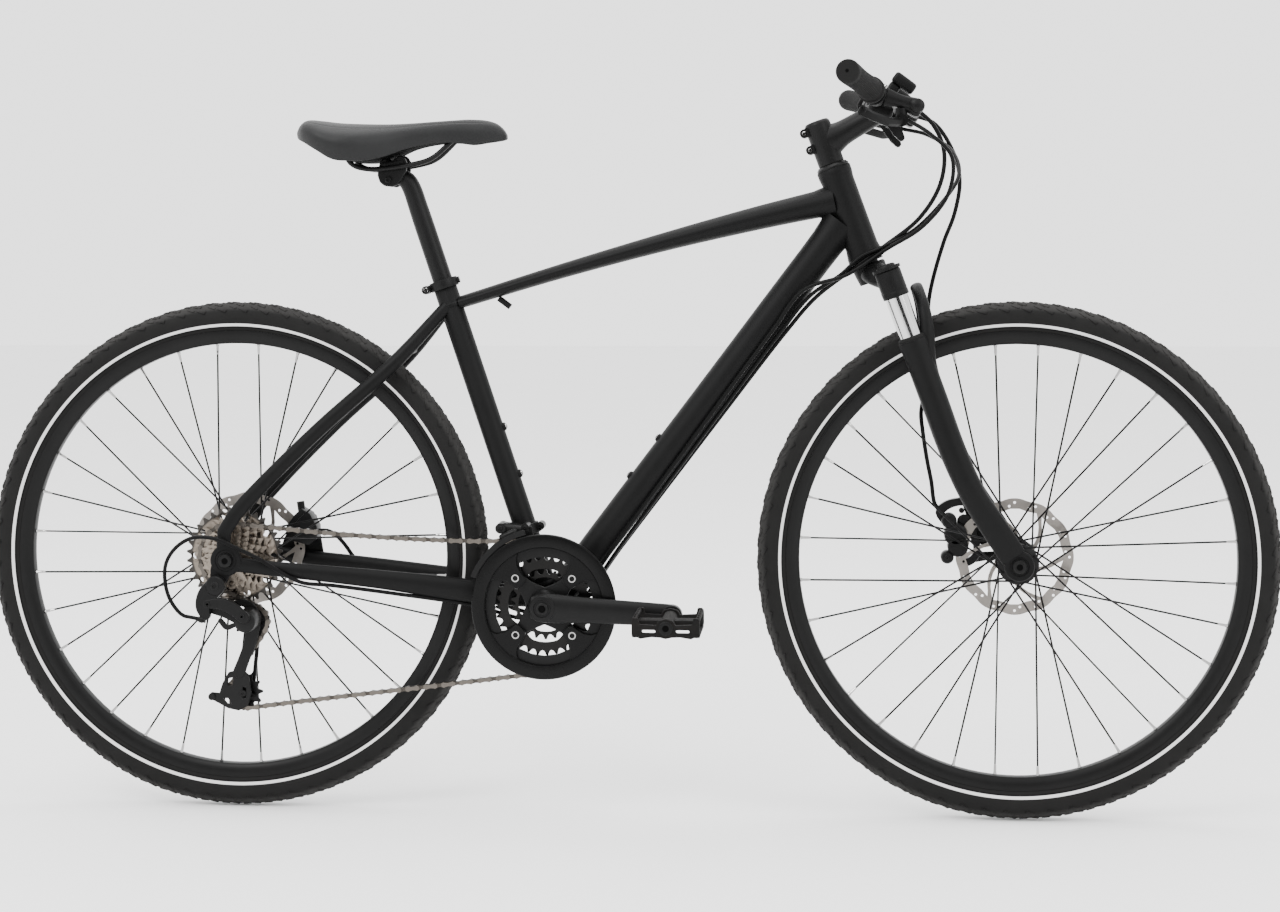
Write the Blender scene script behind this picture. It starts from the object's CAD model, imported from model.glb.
import math

import bmesh
import bpy
from mathutils import Matrix, Vector


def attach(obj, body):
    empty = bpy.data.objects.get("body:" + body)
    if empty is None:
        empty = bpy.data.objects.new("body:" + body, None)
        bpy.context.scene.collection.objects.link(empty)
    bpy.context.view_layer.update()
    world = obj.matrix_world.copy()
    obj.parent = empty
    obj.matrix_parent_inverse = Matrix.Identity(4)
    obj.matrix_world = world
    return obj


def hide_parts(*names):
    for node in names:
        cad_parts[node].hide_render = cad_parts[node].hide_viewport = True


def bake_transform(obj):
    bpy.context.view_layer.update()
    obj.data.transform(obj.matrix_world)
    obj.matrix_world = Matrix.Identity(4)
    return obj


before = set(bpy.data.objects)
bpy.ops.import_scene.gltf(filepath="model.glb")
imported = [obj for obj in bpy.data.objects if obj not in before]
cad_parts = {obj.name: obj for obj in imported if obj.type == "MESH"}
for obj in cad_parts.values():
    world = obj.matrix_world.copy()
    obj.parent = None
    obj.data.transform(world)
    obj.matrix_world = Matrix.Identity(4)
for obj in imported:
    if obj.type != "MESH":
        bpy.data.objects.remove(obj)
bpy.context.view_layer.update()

PHOTO_WIDTH, FOCAL_PIXELS, SHIFT_PIXELS, SENSOR = 1280, 2318.8, -156, 36.0
DOUBLES, SHARP_EDGE = 0.00001, 32
SPOKES, SPOKE_SETS, TREAD_KNOBS, LATHED_ROUND = 32, 8, 72, 144
STRIPE_IN, STRIPE_OUT, LINE_IN, TREAD_IN, WALL = 0.3170, 0.3208, 0.3148, 0.3405, 0.0135
CRANK_LENGTH, SADDLE_LENGTH, SADDLE_HALF = 0.175, 286, 82


def mm(x, y, z):
    """Place or step given in millimetres."""
    return Vector((x / 1000, y / 1000, z / 1000))


# Shapes are given in millimetres, +X forward and +Y to the rider's left; lengths along a direction are metres
X_AXIS, Y_AXIS, Z_AXIS = Vector((1, 0, 0)), Vector((0, 1, 0)), Vector((0, 0, 1))
REAR, FRONT, CRANK = mm(-535, 0, 351), mm(535, 0, 351), mm(-100.523, 0, 291)
STEER = Vector((-0.342020, 0, 0.939693))
STEER_FRONT = Vector((0.939693, 0, 0.342020))
STEER_FOOT = FRONT - STEER_FRONT * 0.050
SEAT = Vector((-0.315649, 0, 0.948876))
SEAT_FRONT = Vector((0.948876, 0, 0.315649))
CROWN, LEG = 20, 63
HEAD_BOTTOM, HEAD_TOP = 450.2, 582.2
DOWN_TUBE_OUT = Vector((-0.796655, 0, 0.604435))
BOTTLE_SHARES, BOTTLE_HEIGHTS = (0.3, 0.397), (178, 246)
CLAMP = CRANK + SEAT * 0.632 - SEAT_FRONT * 0.013
BAR = STEER_FOOT + STEER_FRONT * 0.0926 + STEER * 0.6342


def at_steer(front, up, left=0):
    return STEER_FOOT + STEER_FRONT * (front / 1000) + STEER * (up / 1000) + Y_AXIS * (left / 1000)


def at_seat(up, front=0, left=0):
    return CRANK + SEAT * (up / 1000) + SEAT_FRONT * (front / 1000) + Y_AXIS * (left / 1000)


def at_rear(forward, height, left=0):
    return Vector((REAR.x + forward / 1000, left / 1000, height / 1000))


def rear_spots(*rows):
    return [at_rear(*row) for row in rows]


def around(angle):
    """Direction in the wheels' plane."""
    return Vector((math.cos(angle), 0, math.sin(angle)))


def polar(radius, angle):
    return radius * math.cos(angle), radius * math.sin(angle)


# Finishes
class Number:
    """A value in a finish; arithmetic on it adds Math nodes."""

    def __init__(self, finish, socket):
        self.finish = finish
        self.socket = socket

    def sum(self, operation, *values):
        return self.finish.node("ShaderNodeMath", {"operation": operation}, dict(enumerate(values)))


for symbol, operation in (("add", "ADD"), ("sub", "SUBTRACT"), ("mul", "MULTIPLY"), ("pow", "POWER")):
    setattr(Number, "__%s__" % symbol, lambda self, other, operation=operation: self.sum(operation, self, other))


class Finish:
    """One procedural material on Object coordinates."""

    def __init__(self, name, **fixed):
        self.material = bpy.data.materials.new(name)
        self.material.use_nodes = True
        self.tree = self.material.node_tree
        self.shader = self.tree.nodes["Principled BSDF"]
        for socket, value in fixed.items():
            self.shader.inputs[socket.replace("_", " ")].default_value = value
        self.place = self.node("ShaderNodeTexCoord", {}, {}, "Object")

    def node(self, kind, settings, inputs, output=0):
        """Add a node, set it up, feed it values or links, and give back one output."""
        made = self.tree.nodes.new(kind)
        for key, value in settings.items():
            if key == "stops":
                while len(made.color_ramp.elements) < len(value):
                    made.color_ramp.elements.new(0.5)
                for element, (position, colour) in zip(made.color_ramp.elements, value):
                    element.position = position
                    element.color = (*colour, 1)
            else:
                setattr(made, key, value)
        for socket, value in inputs.items():
            if isinstance(value, Number):
                self.tree.links.new(value.socket, made.inputs[socket])
            else:
                made.inputs[socket].default_value = value
        return Number(self, made.outputs[output])

    def feed(self, socket, value):
        self.tree.links.new(value.socket, self.shader.inputs[socket])

    def noise(self, scale, detail=3.0, rough=0.55):
        return self.node("ShaderNodeTexNoise", {}, {"Vector": self.place, "Scale": scale, "Detail": detail,
            "Roughness": rough}, "Fac")

    def cells(self, scale, feature="F1"):
        return self.node("ShaderNodeTexVoronoi", {"feature": feature}, {"Vector": self.place,
            "Scale": scale}, "Distance")

    def axes(self):
        return [self.node("ShaderNodeSeparateXYZ", {}, {"Vector": self.place}, name) for name in "XYZ"]

    def radius(self, centre):
        """Distance from a wheel's axle line."""
        x, _, z = self.axes()
        return ((x - centre.x) * (x - centre.x) + (z - centre.z) * (z - centre.z)) ** 0.5

    def spread(self, value, low, high):
        """Carry a 0 to 1 value over to another range."""
        return value * (high - low) + low

    def step(self, value, edge, soft):
        """0 below an edge, 1 above it, with a soft change."""
        return self.node("ShaderNodeMapRange", {"interpolation_type": "SMOOTHSTEP"}, {"Value": value,
            "From Min": edge - soft, "From Max": edge + soft}, "Result")

    def mixed(self, share, first, second):
        return self.node("ShaderNodeMix", {"data_type": "RGBA"}, {0: share, 6: first, 7: second}, 2)

    def ramp(self, value, stops):
        return self.node("ShaderNodeValToRGB", {"stops": stops}, {"Fac": value}, "Color")

    def bump(self, height, distance, strength=1.0):
        self.feed("Normal", self.node("ShaderNodeBump", {}, {"Height": height, "Distance": distance,
            "Strength": strength}, "Normal"))


def grey(value, warm=0.0):
    return (value * (1 + warm), value, value * (1 - warm), 1)


def coated(name, colour, rough, grain, depth, patchy=0.25, **fixed):
    """Painted, anodised or moulded surface: fine grain, faint patches and handling marks."""
    finish = Finish(name, **fixed)
    cloud = finish.noise(14, 4)
    fine = finish.noise(grain, 2)
    smears = finish.noise(55, 5, 0.7)
    dark = tuple(channel * (1 - patchy) for channel in colour[:3]) + (1,)
    light = tuple(min(1, channel * (1 + patchy) + 0.002) for channel in colour[:3]) + (1,)
    finish.feed("Base Color", finish.mixed(cloud * 0.6 + smears * 0.4, dark, light))
    finish.feed("Roughness", finish.spread(smears * 0.6 + fine * 0.4, rough - 0.09, rough + 0.09))
    finish.bump(fine, depth)
    return finish.material


def ground_metal(name, colour, rough, along, tips=None):
    """Steel with fine lines along one axis, or round an axle where a centre is given, oiled beyond tips."""
    finish = Finish(name, Metallic=1.0)
    if isinstance(along, Vector):
        lines = finish.node("ShaderNodeTexNoise", {"noise_dimensions": "1D"}, {"W": finish.radius(along) * 2600,
            "Scale": 1.0, "Detail": 2.0}, "Fac")
    else:
        stretched = finish.node("ShaderNodeMapping", {}, {"Vector": finish.place, "Scale": along}, "Vector")
        lines = finish.node("ShaderNodeTexNoise", {}, {"Vector": stretched, "Scale": 1.0, "Detail": 2.0}, "Fac")
    stain = finish.noise(38, 5, 0.65)
    dark = tuple(channel * 0.62 for channel in colour[:3]) + (1,)
    shade = finish.mixed(stain * 0.55 + lines * 0.45, dark, colour)
    if tips:
        shade = finish.mixed(finish.step(finish.radius(along), tips, 0.0015) * 0.85, shade, grey(0.022, -0.05))
    finish.feed("Base Color", shade)
    finish.feed("Roughness", finish.spread(lines * 0.5 + stain * 0.5, rough - 0.10, rough + 0.12))
    finish.bump(lines, 0.00004)
    return finish.material


def polished(name, colour):
    finish = Finish(name, Metallic=1.0)
    haze = finish.noise(26, 4)
    marks = finish.noise(420, 2)
    finish.feed("Base Color", finish.mixed(haze, tuple(c * 0.9 for c in colour[:3]) + (1,), colour))
    finish.feed("Roughness", finish.spread(haze * 0.7 + marks * 0.3, 0.05, 0.14))
    return finish.material


def tyre_finish(name, centre):
    """Dark rubber with a woven casing, a pale reflective stripe and a black line inside it."""
    finish = Finish(name, Specular_IOR_Level=0.08)
    radius = finish.radius(centre)
    side = finish.axes()[1]
    wall = finish.step(side * side, WALL ** 2, 0.00003)
    stripe = (finish.step(radius, STRIPE_IN, 0.0003) - finish.step(radius, STRIPE_OUT, 0.0003)) * wall
    line = finish.step(radius, LINE_IN, 0.0003) - finish.step(radius, STRIPE_IN, 0.0003)
    cloud = finish.noise(22, 5, 0.6)
    grain = finish.noise(900, 2)
    weave = finish.node("ShaderNodeTexWave", {"wave_type": "RINGS",
        "rings_direction": "Y"}, {"Vector": finish.place, "Scale": 260.0, "Distortion": 1.0}, "Fac")
    rubber = finish.mixed(cloud, grey(0.006, 0.02), grey(0.011, 0.02))
    dusty = finish.mixed(finish.step(radius, TREAD_IN, 0.0030) * (cloud * 0.5 + 0.35), rubber, grey(0.030, 0.03))
    banded = finish.mixed(line, dusty, grey(0.004))
    finish.feed("Base Color", finish.mixed(stripe, banded, grey(0.62, 0.01)))
    finish.feed("Roughness", finish.spread(grain, 0.62, 0.82) - stripe * 0.35)
    finish.bump(grain * 0.5 + weave * 0.35 + cloud * 0.3, 0.00016)
    return finish.material


def saddle_finish():
    """Soft-touch cover: fine leather grain that turns a little glossier on the crown."""
    finish = Finish("saddle_cover", Specular_IOR_Level=0.17)
    cells = finish.cells(620)
    pores = finish.noise(1500, 2)
    rub = finish.noise(18, 4, 0.6)
    cover = finish.mixed(rub, grey(0.007, -0.02), grey(0.013, -0.02))
    finish.feed("Base Color", cover)
    finish.feed("Roughness", finish.spread(rub * 0.5 + cells * 0.5, 0.38, 0.58))
    finish.bump(cells * 0.8 + pores * 0.4, 0.00022, 0.7)
    return finish.material


def gritty_finish():
    """Brown-black pedal resin with sharp grit and rubbed edges."""
    finish = Finish("pedal_grit", Specular_IOR_Level=0.12)
    grit = finish.cells(900)
    rub = finish.noise(60, 5, 0.7)
    finish.feed("Base Color", finish.ramp(rub, [(0.34, (0.0022, 0.0022, 0.0022)), (0.66, (0.006, 0.005, 0.0044)),
        (0.88, (0.026, 0.019, 0.015))]))
    finish.feed("Roughness", finish.spread(grit, 0.55, 0.85))
    finish.bump(grit + rub * 0.5, 0.0005)
    return finish.material


def floor_finish():
    finish = Finish("studio_floor")
    cloud = finish.noise(2.5, 4)
    finish.feed("Base Color", finish.mixed(cloud, grey(0.90), grey(0.93)))
    finish.feed("Roughness", finish.spread(cloud, 0.62, 0.74))
    return finish.material


PAINT = coated("frame_paint", grey(0.0030, -0.01), 0.46, 2400, 0.00005, Specular_IOR_Level=0.09)
ALLOY = coated("satin_alloy", grey(0.0041), 0.38, 3000, 0.00003, Specular_IOR_Level=0.11)
STEEL = coated("black_steel", grey(0.0044), 0.36, 2600, 0.00003, Specular_IOR_Level=0.12)
PLASTIC = coated("moulded_plastic", grey(0.0039), 0.42, 1500, 0.00008, Specular_IOR_Level=0.10)
GLOSS_PLASTIC = coated("smooth_plastic", grey(0.0020), 0.28, 900, 0.00002, 0.15, Specular_IOR_Level=0.10)
LEVER_BLACK = coated("lever_black", grey(0.0024), 0.42, 2600, 0.00003, Specular_IOR_Level=0.06)
RUBBER = coated("grip_rubber", grey(0.0066, 0.02), 0.72, 1300, 0.00020, Specular_IOR_Level=0.08)
RECESS = coated("dark_recess", grey(0.0012), 0.85, 900, 0.00004, Specular_IOR_Level=0.02)
HOUSING = coated("cable_housing", grey(0.0022), 0.33, 1800, 0.00004, Specular_IOR_Level=0.08)
RIM_BLACK = coated("rim_anodising", grey(0.0047), 0.36, 1700, 0.00002, Specular_IOR_Level=0.10)
SPOKE_BLACK = coated("spoke_black", grey(0.0033), 0.34, 2600, 0.00002, Specular_IOR_Level=0.08)
CHROME = polished("stanchion_chrome", grey(0.58))
SILVER = polished("bolt_silver", grey(0.34, 0.01))
BARE_STEEL = ground_metal("bare_steel", grey(0.30, 0.02), 0.32, (240, 1900, 1900))
CHAIN_STEEL = ground_metal("chain_steel", grey(0.125, 0.12), 0.36, (900, 2400, 900))
INNER_LINK_STEEL = ground_metal("inner_link_steel", grey(0.065, 0.12), 0.40, (900, 2400, 900))
SPROCKET_STEEL = ground_metal("sprocket_steel", grey(0.24, 0.16), 0.36, REAR, tips=0.0590)
FRONT_DISC = ground_metal("front_disc_steel", grey(0.27, 0.08), 0.38, FRONT)
REAR_DISC = ground_metal("rear_disc_steel", grey(0.27, 0.08), 0.38, REAR)
RING_STEEL = ground_metal("ring_steel", grey(0.020, 0.02), 0.34, CRANK)
SADDLE_COVER = saddle_finish()
GRIT = gritty_finish()


# Modelling by hand
def edit_all():
    bpy.ops.object.mode_set(mode="EDIT")
    bpy.ops.mesh.select_all(action="SELECT")


def deselect():
    if bpy.context.mode != "OBJECT":
        bpy.ops.object.mode_set(mode="OBJECT")
    bpy.ops.object.select_all(action="DESELECT")


def only(piece):
    """Select one piece and make it active."""
    deselect()
    piece.select_set(True)
    bpy.context.view_layer.objects.active = piece


def duplicate(source):
    copy = source.copy()
    copy.data = source.data.copy()
    bpy.context.scene.collection.objects.link(copy)
    return copy


def pick_numbers(low, high):
    """In edit mode, select a run of vertices by their order of making."""
    mesh = bmesh.from_edit_mesh(bpy.context.object.data)
    mesh.verts.ensure_lookup_table()
    for vertex in mesh.verts:
        vertex.select = low <= vertex.index < high
    mesh.select_flush_mode()
    bmesh.update_edit_mesh(bpy.context.object.data)


def one_point(point):
    """Start a mesh as a single point, left in edit mode."""
    deselect()
    bpy.ops.mesh.primitive_plane_add(size=0.002, location=point)
    bpy.ops.object.transform_apply(location=True, rotation=True, scale=True)
    bpy.ops.object.mode_set(mode="EDIT")
    bpy.ops.mesh.select_mode(type="VERT")
    bpy.ops.mesh.select_all(action="SELECT")
    bpy.ops.mesh.merge(type="CENTER")


def draw_on(points):
    """Extrude the selected end point along the rest of an outline."""
    for before, after in zip(points, points[1:]):
        bpy.ops.mesh.extrude_vertices_move(TRANSFORM_OT_translate={"value": after - before})


def close_up(angle=35):
    """Merge doubles, turn the faces outwards, leave edit mode and smooth by angle."""
    bpy.ops.mesh.select_all(action="SELECT")
    bpy.ops.mesh.remove_doubles(threshold=DOUBLES)
    bpy.ops.mesh.normals_make_consistent(inside=False)
    bpy.ops.object.mode_set(mode="OBJECT")
    bpy.ops.object.shade_smooth_by_angle(angle=math.radians(angle))
    return bpy.context.object


def lathe(profile, centre, axis=Y_AXIS, sides=64, angle=35):
    """Turn (radius, distance along) corners round an axis; a profile that keeps off the axis is closed."""
    if profile[0][0] and profile[-1][0]:
        profile = profile + profile[:1]
    axis = Vector(axis)
    side = X_AXIS if abs(axis.x) < 0.9 else Z_AXIS
    side = (side - axis * side.dot(axis)).normalized()
    points = [centre + side * (radius / 1000) + axis * (along / 1000) for radius, along in profile]
    one_point(points[0])
    draw_on(points)
    bpy.ops.mesh.select_all(action="SELECT")
    bpy.ops.mesh.spin(steps=sides, angle=math.tau, center=centre, axis=axis)
    return close_up(angle)


def plate(outline, low, high, centre=Vector(), axes=(X_AXIS, Z_AXIS, Y_AXIS)):
    """Flat outline drawn point by point, filled and extruded to its thickness."""
    across, upward, out = axes
    points = [centre + across * (a / 1000) + upward * (b / 1000) + out * (low / 1000) for a, b in outline]
    one_point(points[0])
    draw_on(points)
    bpy.ops.mesh.select_all(action="SELECT")
    bpy.ops.mesh.edge_face_add()
    bpy.ops.mesh.extrude_region_move(TRANSFORM_OT_translate={"value": out * ((high - low) / 1000)})
    return close_up()


def repeat_round(piece, count, centre, axis=Y_AXIS):
    """Copy everything in a piece round an axis."""
    bpy.context.view_layer.objects.active = piece
    edit_all()
    bpy.ops.mesh.spin(steps=count - 1, dupli=True, angle=math.tau * (count - 1) / count, center=centre, axis=axis)
    return close_up()


def smooth_line(points, count):
    """Even places along a soft curve through the given rows of numbers."""
    rows = [list(point) for point in points]
    ends = [[2 * a - b for a, b in zip(rows[0], rows[1])]] + rows + [[2 * a - b for a, b in zip(rows[-1], rows[-2])]]
    fine = []
    for index in range(1, len(ends) - 2):
        before, start, end, after = ends[index - 1:index + 3]
        came, here, goes = (max(1e-6, math.dist(a[:3], b[:3])) ** 0.5 for a, b in ((before, start),
            (start, end), (end, after)))
        for step in range(20):
            t = step / 20
            row = []
            for p, q, r, s in zip(before, start, end, after):
                leave = (q - p) / came - (r - p) / (came + here) + (r - q) / here
                arrive = (r - q) / here - (s - q) / (here + goes) + (s - r) / goes
                row.append(q * (2 * t ** 3 - 3 * t ** 2 + 1) + r * (3 * t ** 2 - 2 * t ** 3)
                    + leave * here * (t ** 3 - 2 * t ** 2 + t) + arrive * here * (t ** 3 - t ** 2))
            fine.append(row)
    fine.append(rows[-1])
    lengths = [0.0]
    for first, second in zip(fine, fine[1:]):
        lengths.append(lengths[-1] + math.dist(first[:3], second[:3]))
    found, place = [], 0
    for step in range(count):
        wanted = lengths[-1] * step / (count - 1)
        while place < len(fine) - 2 and lengths[place + 1] < wanted:
            place += 1
        share = (wanted - lengths[place]) / max(1e-9, lengths[place + 1] - lengths[place])
        found.append([a + (b - a) * share for a, b in zip(fine[place], fine[place + 1])])
    return found


def tube(stations, sides=24, across=Y_AXIS, count=None, angle=40):
    """Rings of (x, y, z, half across, half upright), bridged one after another and capped."""
    rows = [(*point, a / 1000, b / 1000) for point, a, b in stations]
    if count:
        rows = smooth_line(rows, count)
    spots = [Vector(row[:3]) for row in rows]
    deselect()
    for index, row in enumerate(rows):
        ahead = spots[min(index + 1, len(spots) - 1)]
        behind = spots[max(index - 1, 0)]
        forward = (ahead - behind).normalized()
        sideways = (across - forward * across.dot(forward)).normalized()
        turn = Matrix((sideways, forward.cross(sideways), forward)).transposed().to_euler()
        bpy.ops.mesh.primitive_circle_add(vertices=sides, radius=row[3], location=spots[index], rotation=turn)
        if index == 0:
            bpy.ops.object.transform_apply(location=True, rotation=True, scale=True)
            edit_all()
        frame_of_ring = Matrix((sideways, forward.cross(sideways), forward)).transposed()
        bpy.ops.transform.resize(value=(1.0, row[4] / row[3], 1.0), orient_type="GLOBAL",
            orient_matrix=frame_of_ring, orient_matrix_type="GLOBAL", center_override=spots[index])
        if index:
            pick_numbers((index - 1) * sides, (index + 1) * sides)
            bpy.ops.mesh.bridge_edge_loops()
    for low in (0, (len(rows) - 1) * sides):
        pick_numbers(low, low + sides)
        bpy.ops.mesh.edge_face_add()
    return close_up(angle)


def straight(start, end, radius, sides=24, end_radius=None):
    return tube([(start, radius, radius), (end, end_radius or radius, end_radius or radius)],
        sides, across=X_AXIS if abs((end - start).normalized().x) < 0.8 else Y_AXIS)


def pin(spot, reach, radius, sides):
    """Rod across the bicycle, equally far to either side of a point."""
    return straight(spot - mm(0, reach, 0), spot + mm(0, reach, 0), radius, sides)


def block(size, place, turn=(0, 0, 0), bevel=1, segments=2):
    """Box with rounded edges, in place."""
    deselect()
    bpy.ops.mesh.primitive_cube_add(size=1.0)
    edit_all()
    bpy.ops.transform.resize(value=[side / 1000 for side in size])
    bpy.ops.object.mode_set(mode="OBJECT")
    bpy.context.object.location = place
    bpy.context.object.rotation_euler = turn
    bpy.ops.object.transform_apply(location=True, rotation=True, scale=True)
    edit_all()
    bpy.ops.mesh.bevel(offset=bevel / 1000, segments=segments, affect="EDGES")
    return close_up()


def apply_modifiers(piece):
    only(piece)
    for modifier in list(piece.modifiers):
        bpy.ops.object.modifier_apply(modifier=modifier.name)
    return piece


def rounded(piece, width, segments=2):
    modifier = piece.modifiers.new("edges", "BEVEL")
    modifier.width = width / 1000
    modifier.segments = segments
    modifier.limit_method = "ANGLE"
    modifier.angle_limit = math.radians(SHARP_EDGE)
    modifier.use_clamp_overlap = True
    apply_modifiers(piece)
    bpy.ops.object.shade_smooth_by_angle(angle=math.radians(38))
    return piece


def cut_with(piece, cutter):
    modifier = piece.modifiers.new("cut", "BOOLEAN")
    modifier.object = cutter
    modifier.operation = "DIFFERENCE"
    modifier.solver = "EXACT"
    apply_modifiers(piece)
    bpy.data.objects.remove(cutter)
    return piece


def merged(pieces):
    """Join several pieces into the first."""
    deselect()
    for piece in pieces:
        piece.select_set(True)
    bpy.context.view_layer.objects.active = pieces[0]
    bpy.ops.object.join()
    return bpy.context.object


def settle(piece, name, body, finish, stands_for=()):
    """Join a list of pieces, name the result, give it its finish, and seat it on its body."""
    if isinstance(piece, list):
        piece = merged(piece)
    piece.name = name
    piece.data.name = name
    piece.data.materials.clear()
    piece.data.materials.append(finish)
    if stands_for:
        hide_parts(*stands_for)
    if body:
        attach(piece, body)
    return piece


def from_node(node, bevel, segments):
    """Merged copy of a CAD node, with its edges rounded."""
    copy = duplicate(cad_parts[node])
    copy.parent = None
    copy.matrix_world = Matrix()
    only(copy)
    edit_all()
    bpy.ops.mesh.remove_doubles(threshold=DOUBLES)
    bpy.ops.mesh.dissolve_limited(angle_limit=math.radians(1.5))
    bpy.ops.object.mode_set(mode="OBJECT")
    return rounded(copy, bevel, segments)


# Camera, floor and light
def make_camera():
    camera = bpy.data.objects.new("camera", bpy.data.cameras.new("camera"))
    bpy.context.scene.collection.objects.link(camera)
    yaw, pitch, roll = math.radians(-5.23), math.radians(1.68), math.radians(-0.19)
    forward = Vector((math.sin(yaw) * math.cos(pitch), math.cos(yaw) * math.cos(pitch), -math.sin(pitch)))
    right = forward.cross(Z_AXIS).normalized()
    upward = right.cross(forward)
    turned_right = right * math.cos(roll) + upward * math.sin(roll)
    turned_up = upward * math.cos(roll) - right * math.sin(roll)
    camera.matrix_world = Matrix((turned_right, turned_up, -forward)).transposed().to_4x4()
    camera.location = (0.3142, -3.1523, 0.7962)
    camera.data.sensor_width = SENSOR
    camera.data.lens = FOCAL_PIXELS / PHOTO_WIDTH * SENSOR
    camera.data.shift_y = SHIFT_PIXELS / PHOTO_WIDTH
    camera.data.clip_end = 60
    bpy.context.scene.camera = camera


def studio_plane(name, place, size, finish, turn=(0, 0, 0)):
    deselect()
    bpy.ops.mesh.primitive_plane_add(size=1.0, location=place, rotation=turn)
    plane = bpy.context.object
    edit_all()
    bpy.ops.transform.resize(value=size)
    bpy.ops.object.mode_set(mode="OBJECT")
    plane.name = name
    plane.data.materials.append(finish)
    return plane


def make_stage():
    """White floor, white world, three lamps, and a black card that only reflections see."""
    floor = studio_plane("studio_floor", (0, 2.0, -0.0006), (26, 22, 1), floor_finish())
    card = studio_plane("studio_black_card", (0.1, -4.6, 1.05), (4.6, 1, 1.6), coated("black_card", grey(0.010),
        0.9, 300, 0.0001), (math.radians(90), 0, 0))
    card.visible_camera = False
    world = bpy.data.worlds.new("studio")
    bpy.context.scene.world = world
    world.use_nodes = True
    world.node_tree.nodes["Background"].inputs["Color"].default_value = (1, 1, 1, 1)
    world.node_tree.nodes["Background"].inputs["Strength"].default_value = 2.4
    for name, place, size, power in (("key", (-1.8, -2.6, 3.4), 1.8, 110), ("fill", (2.8, -2.2, 2.4), 1.6, 40),
            ("top", (0.1, 0.3, 3.6), 2.4, 90)):
        lamp = bpy.data.lights.new(name, "AREA")
        lamp.size = size
        lamp.energy = power
        light = bpy.data.objects.new(name, lamp)
        bpy.context.scene.collection.objects.link(light)
        light.location = place
        light.rotation_euler = (Vector((0, 0, 0.45)) - Vector(place)).to_track_quat("-Z", "Y").to_euler()


# Wheels
def make_tyre(word, centre, body):
    """Casing with a rounded crown, shoulder knobs and fine centre grooves."""
    half = [(308, 9.5), (310, 10.6), (312.5, 12.2), (315, 14.2), (319, 16.6), (324, 18.3), (329, 19), (334, 18.6),
        (338.2, 17.2), (341.2, 15.2), (344, 12.8), (346.6, 9.6), (348.4, 6), (349.4, 2.5)]
    profile = half + [(radius, -out) for radius, out in reversed(half)]
    casing = lathe(profile, centre, sides=LATHED_ROUND, angle=60)
    shells = [casing]
    for side in (-1, 1):
        for shift, radius, out, lean, size in ((0, 340.4, 15.7, 52, (13.5, 5.8, 2)),
                (0.5, 343.6, 13, 42, (11, 3.4, 2)), (0.2, 346.8, 9, 30, (12, 5.2, 2.1)),
                (0.7, 348.6, 3.6, 12, (10.5, 5, 2.6))):
            angle = math.tau / TREAD_KNOBS * (shift + 0.4 * side)
            place = centre + mm(radius * math.cos(angle), side * out, radius * math.sin(angle))
            knob = block(size, place, (0, 0, 0), 0.5)
            turn = (Matrix.Translation(place) @ Matrix.Rotation(math.pi / 2 - angle, 4, "Y")
                @ Matrix.Rotation(-math.radians(lean) * side, 4, "X") @ Matrix.Rotation(math.radians(28) * side, 4,
                "Z") @ Matrix.Translation(-place))
            knob.data.transform(turn)
            shells.append(repeat_round(knob, TREAD_KNOBS, centre))
    tyre = merged(shells)
    settle(tyre, word + "_tyre_casing", body, tyre_finish(word + "_tyre_rubber", centre), (word + "_tyre",))


def make_rim(word, centre, body):
    half = [(292.6, 4.2), (293.1, 6.8), (295.5, 9), (300, 10.8), (304, 11.7), (309, 12), (310.6, 11.9), (310.7, 10)]
    profile = half + [(radius, -out) for radius, out in reversed(half)]
    rim = lathe(profile, centre, sides=LATHED_ROUND, angle=30)
    settle(rim, word + "_rim_hoop", body, RIM_BLACK, (word + "_rim",))


def make_hub(word, centre, body, flanges, right_end, left_end):
    """Hub shell, four different spokes and nipples, each repeated eight times round the hub."""
    right, left = flanges
    profile = [(5.5, right_end), (11, right_end), (12.8, right_end + 0.8), (15, right - 4), (26.2, right - 2.2),
        (27.5, right - 1.2), (27.5, right + 1.2), (26.2, right + 2.1), (18, right + 3), (15, right + 6),
        (13.8, (right + left) / 2), (15, left - 6), (18, left - 3), (26.2, left - 2.1), (27.5, left - 1.2),
        (27.5, left + 1.2), (26.2, left + 2.1), (21.5, left + 3), (23.5, left_end - 8.5), (23.5, left_end - 3.2),
        (17, left_end - 3), (17, left_end), (5.5, left_end)]
    shell = lathe(profile, centre, sides=48, angle=30)
    settle(shell, word + "_hub_shell", body, ALLOY, (word + "_hub",))
    spokes, nipples = [], []
    step = math.tau / SPOKES
    for spoke in range(SPOKES // SPOKE_SETS):
        side, leading = spoke % 2, 1 if spoke // 2 % 2 else -1
        rim_angle = (spoke + 0.5) * step
        hub_angle = rim_angle - leading * 6 * step
        start_y = flanges[side] + leading * 2.6
        end_y = 1.5 if side else -1.5
        start = centre + mm(23.5 * math.cos(hub_angle), start_y, 23.5 * math.sin(hub_angle))
        end = centre + mm(292.2 * math.cos(rim_angle), end_y, 292.2 * math.sin(rim_angle))
        along = (end - start).normalized()
        spokes.append(straight(start, end, 1.3, 6))
        head = start - Y_AXIS * leading * 0.0001
        spokes.append(lathe([(0, -1.2), (1.9, -0.6), (1.9, 0.6), (0, 1.2)], head, Y_AXIS, 10))
        nipples.append(lathe([(0, -13.5), (1.4, -13.5), (1.8, -10), (1.9, -3), (2.6, -1), (2.6, 0),
            (0, 0)], end, along, 8))
    spokes = repeat_round(merged(spokes), SPOKE_SETS, centre)
    nipples = repeat_round(merged(nipples), SPOKE_SETS, centre)
    settle(spokes, word + "_spokes", body, SPOKE_BLACK)
    settle(nipples, word + "_nipples", body, SILVER)


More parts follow.
